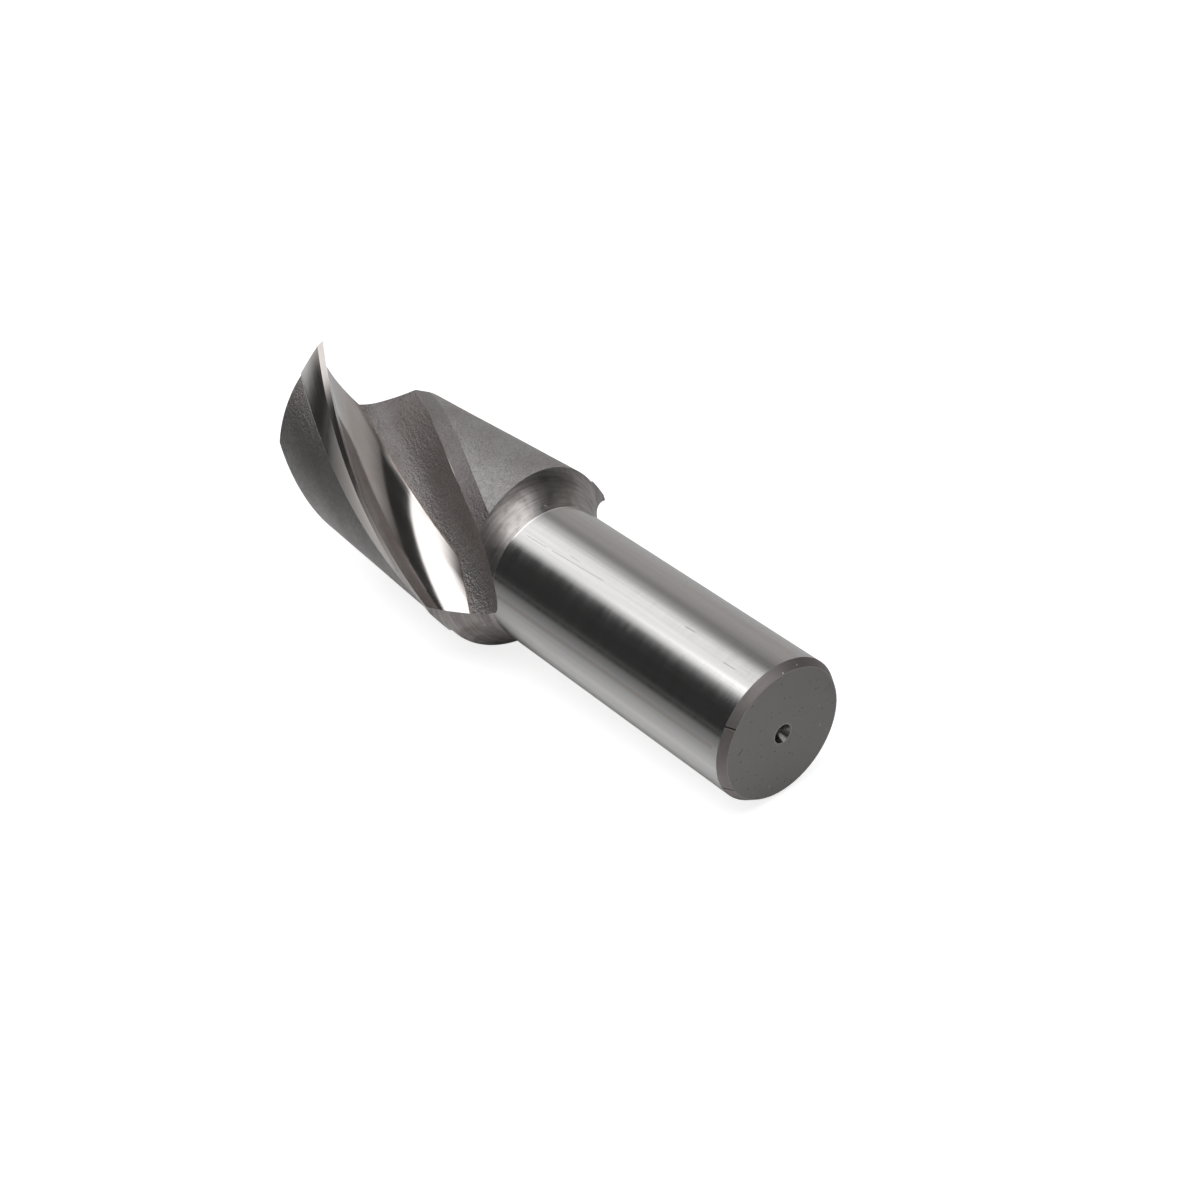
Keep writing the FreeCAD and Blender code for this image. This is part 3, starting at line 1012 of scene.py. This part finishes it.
join(t, blend(t, marks(t, at["Upright"], DINGS), brown, DING_BRIGHT), shader.inputs["Base Color"])
roughen(t, shader, lines["Height"], smooth=0.5, rough=0.62)
bump(t, shader, calc(t, "SUBTRACT", lines["Height"], calc(t, "MULTIPLY", nicks, 4.0)), depth=0.02)
keep("chamfer", made)

# %% [markdown]
# ## Centre hole
# The small hole in the middle of the shank end was cut by a centre drill, which
# leaves rings. The hole itself is in the model, so it only needs rings of two
# tones, darker than the end.

# %% Centre hole
HOLE_TONES = (0.12, 0.115, 0.11), (0.32, 0.31, 0.30)
made, t, shader, at = start("centre hole")
lines = grinding(t, at, "Upright", (0.5, 0.5, 6.0))
join(t, blend(t, lines["Height"], *HOLE_TONES), shader.inputs["Base Color"])
roughen(t, shader, lines["Height"], smooth=0.2, rough=0.35)
bump(t, shader, lines["Height"], depth=0.01)
keep("centre_hole", made)

# %% [markdown]
# ## Ground end
# The end of the teeth is ground in three flat cuts, with straight lines of the
# wheel across them. So the lines are squeezed along two directions at once, and
# come out long and straight, not round the axis.

# %% Ground end
GRIND_TONES = (0.40, 0.375, 0.36), (0.60, 0.58, 0.565)
GRIND_CLOUD = (0.46, 0.435, 0.42)
made, t, shader, at = start("ground end")
lines = grinding(t, at, "Upright", (0.12, 6.0, 0.12))
steel = blend(t, spread(t, lines["Height"], 0.35, 0.65), *GRIND_TONES)
steel = blend(t, spread(t, lines["Cloud"], 0.35, 0.65, 0.0, 0.5), steel, GRIND_CLOUD)
join(t, steel, shader.inputs["Base Color"])
roughen(t, shader, lines["Height"], smooth=0.2, rough=0.34)
bump(t, shader, lines["Height"], depth=0.008)
keep("end_grind", made)

# %% [markdown]
# ## Finishes on their surfaces
# The survey counts the surfaces in the order in which they were found, so the
# material slots are filled in that same order.

# %% Put the finishes on
mesh.materials.clear()
for name in names:
    mesh.materials.append(finishes[name])
print("finishes", [m.name for m in mesh.materials])

# %% [markdown]
# ## Studio
# Bright metal shows the room more than itself, so the room is built first: a
# large white softbox overhead, a narrower one ahead, a grey wall on one side and
# a dark corner on the other. Lamps would do for the light, but the room has to
# look right in the metal too, so all of it is in the world. Each card is the part
# of the sky on the inner side of a few planes through the tool, with soft borders.
# An edge is given by the direction that points inwards from it, and its softness.

# %% Edges of the cards
def level(height, azimuth):
    """Inward direction of a card's lower edge at a height in degrees."""
    rise, turn = math.radians(height), math.radians(azimuth)
    return (-math.sin(rise) * math.cos(turn), -math.sin(rise) * math.sin(turn), math.cos(rise))


def upright_edge(azimuth, side):
    """Inward direction of a card's upright edge; side is 1 for larger azimuths."""
    turn = math.radians(azimuth)
    return (-side * math.sin(turn), side * math.cos(turn), 0.0)


def turned_over(way):
    """The opposite direction, which makes a lower edge an upper one."""
    return tuple(-part for part in way)


print("inwards from an edge 22 degrees up", level(22, 180))

# %% [markdown]
# The overhead softbox is as wide as the room, but ends at a straight edge on one
# side, and a dark screen stands before it there. The other cards are plain: each
# has a strength, a tint and its edges. Where there is no card the room is dark.

# %% Cards
WHITE = (1.0, 1.0, 1.0)
OVERHEAD = 1.85
OVERHEAD_EDGES = [((0.787, 0.223, 0.576), 0.24), (level(60, 10), 0.12), (level(55, 290), 0.2)]
DARK_SCREEN = [((-0.6455, 0.7446, -0.1698), 0.03)]
ROOM_DARK = 0.035
CARDS = {
    "front softbox": (1.2, WHITE, [
        ((0.05, 0.88, 0.47), 0.13), (upright_edge(154, 1), 0.2),
        (level(22, 180), 0.32), (turned_over(level(62, 180)), 0.04)]),
    "grey wall": (0.39, (1.0, 0.96, 0.94), [
        (upright_edge(95, 1), 0.14), (upright_edge(143, -1), 0.15),
        (turned_over(level(48, 120)), 0.45), (turned_over(level(52, 120)), 0.06)]),
    "foot of the grey wall": (0.10, (1.0, 0.97, 0.94), [
        (upright_edge(90, 1), 0.2), (upright_edge(145, -1), 0.2), (turned_over(level(0, 120)), 0.15)]),
    "grey gap": (0.23, (1.0, 0.96, 0.94), [
        (upright_edge(143, 1), 0.15), (upright_edge(188, -1), 0.1), (turned_over(level(48, 160)), 0.1)]),
    "far edge of the table": (0.17, (1.0, 0.98, 0.96), [
        (upright_edge(190, 1), 0.2), (turned_over(level(1, 230)), 0.06)]),
    "room behind the camera": (0.35, WHITE, [
        (upright_edge(-75, 1), 0.3), (upright_edge(85, -1), 0.3), (turned_over(level(25, 0)), 0.3)]),
}
print("cards", list(CARDS))

# %% [markdown]
# For the camera the world is plain white, as behind the tool in the photo. The
# cards are for the light and the reflections. The world's light is found through
# a map of it, and 512 steps are fine enough for the soft edges.

# %% World of cards
MAP_STEPS = 512
world = bpy.data.worlds.new("studio")
bpy.context.scene.world = world
world.use_nodes = True
t = world.node_tree
way = t.nodes.new("ShaderNodeTexCoord").outputs["Generated"]


def all_inside(tree, edges):
    """Mask of the directions on the inner side of every edge."""
    mask = 1.0
    for inside, softness in edges:
        inward = tuple(Vector(inside).normalized())
        edge = spread(tree, vector(tree, "DOT_PRODUCT", way, inward), -softness, softness)
        mask = calc(tree, "MULTIPLY", edge, mask)
    return mask


screen = calc(t, "SUBTRACT", 1.0, all_inside(t, DARK_SCREEN))
overhead = calc(t, "MULTIPLY", all_inside(t, OVERHEAD_EDGES), screen)
light = calc(t, "MULTIPLY_ADD", overhead, OVERHEAD, ROOM_DARK)
for strength, tint, edges in CARDS.values():
    card = scaled(t, tint, calc(t, "MULTIPLY", all_inside(t, edges), strength))
    light = vector(t, "ADD", card, light)
sees = t.nodes.new("ShaderNodeLightPath").outputs
join(t, blend(t, sees["Is Camera Ray"], light, WHITE), t.nodes["Background"].inputs["Color"])
world.cycles.sampling_method = "MANUAL"
world.cycles.sample_map_resolution = MAP_STEPS
print(world.name, len(t.nodes), "nodes")

# %% [markdown]
# ## Floor
# The tool lies on a white table. For the camera the table glows enough to be as
# white as the background, and only keeps the soft shadow. The tool sees it
# without that glow, with painted light: pale near the grey wall, and elsewhere a
# grey that gets darker with distance, as the table's reflection does in the photo.
# More light on the table would whiten it too, but would also bleach the tool.

# %% Floor
TABLE_SIZE = 6.0
TABLE_WHITE = 0.72
TABLE_SEEN = 0.6
TABLE_GLOW = 0.81
FADE = 0.0165
FADE_FROM = 0.018
FAR_GREY = 0.19
FAR_SIDE = -0.3, -0.1
WALL_SIDE = 0.005, 0.03
bpy.ops.mesh.primitive_plane_add(size=TABLE_SIZE)
floor = bpy.context.object
floor.name = "floor"
table = bpy.data.materials.new("white table")
table.use_nodes = True
t = table.node_tree
shader = t.nodes["Principled BSDF"]
sees = t.nodes.new("ShaderNodeLightPath").outputs
spot = t.nodes.new("ShaderNodeTexCoord").outputs["Object"]
across = parts(t, spot)[1]
# Painted light on the table, as the tool sees it: grey that falls off with distance, pale near the grey
# wall.
distance = calc(t, "MAXIMUM", calc(t, "ABSOLUTE", across), FADE_FROM)
far_grey = spread(t, across, *FAR_SIDE, 0.0, FAR_GREY)
grey = calc(t, "ADD", calc(t, "DIVIDE", FADE, distance), far_grey)
by_the_wall = spread(t, across, *WALL_SIDE)
seen_by_tool = calc(t, "MULTIPLY_ADD", calc(t, "SUBTRACT", TABLE_WHITE, grey), by_the_wall, grey)
cloth = calc(t, "MULTIPLY_ADD", noise(t, spot, 40.0, 2.0), 0.02, TABLE_SEEN)
join(t, mix(t, sees["Is Camera Ray"], seen_by_tool, cloth), shader.inputs["Base Color"])
join(t, calc(t, "MULTIPLY", sees["Is Camera Ray"], TABLE_GLOW), shader.inputs["Emission Color"])
shader.inputs["Emission Strength"].default_value = 1.0
shader.inputs["Roughness"].default_value = 0.9
shader.inputs["Specular IOR Level"].default_value = 0.0
floor.data.materials.append(table)
print(table.name, TABLE_SIZE, "m wide")

# %% [markdown]
# ## Camera
# The camera was found from the photo: the shank's end ring, the neck and the
# tooth tips fix where it stood and how long its lens was. Its turn is given by
# the directions of the picture's right and lower side. A camera aimed by eye
# would show the tool's outline a little wrong all round.

# %% Camera
CAMERA_PLACE = Vector((244.857, -171.049, 199.297)) * MM
CAMERA_RIGHT = Vector((0.63359, 0.77079, -0.06663))
CAMERA_DOWN = Vector((0.38235, -0.38683, -0.83915))
SENSOR = 36.0
LENS = 60.783
camera_data = bpy.data.cameras.new("camera")
camera = bpy.data.objects.new("camera", camera_data)
bpy.context.scene.collection.objects.link(camera)
forward = CAMERA_RIGHT.cross(CAMERA_DOWN)
view_turn = Matrix((CAMERA_RIGHT, -CAMERA_DOWN, -forward)).transposed()
camera.matrix_world = Matrix.Translation(CAMERA_PLACE) @ view_turn.to_4x4()
camera_data.sensor_width = SENSOR
camera_data.lens = LENS
camera_data.clip_start = 0.01
camera_data.clip_end = 20
bpy.context.scene.camera = camera
bpy.context.scene.view_settings.view_transform = "Standard"
print("camera", CAMERA_PLACE.length, "m from the tool")
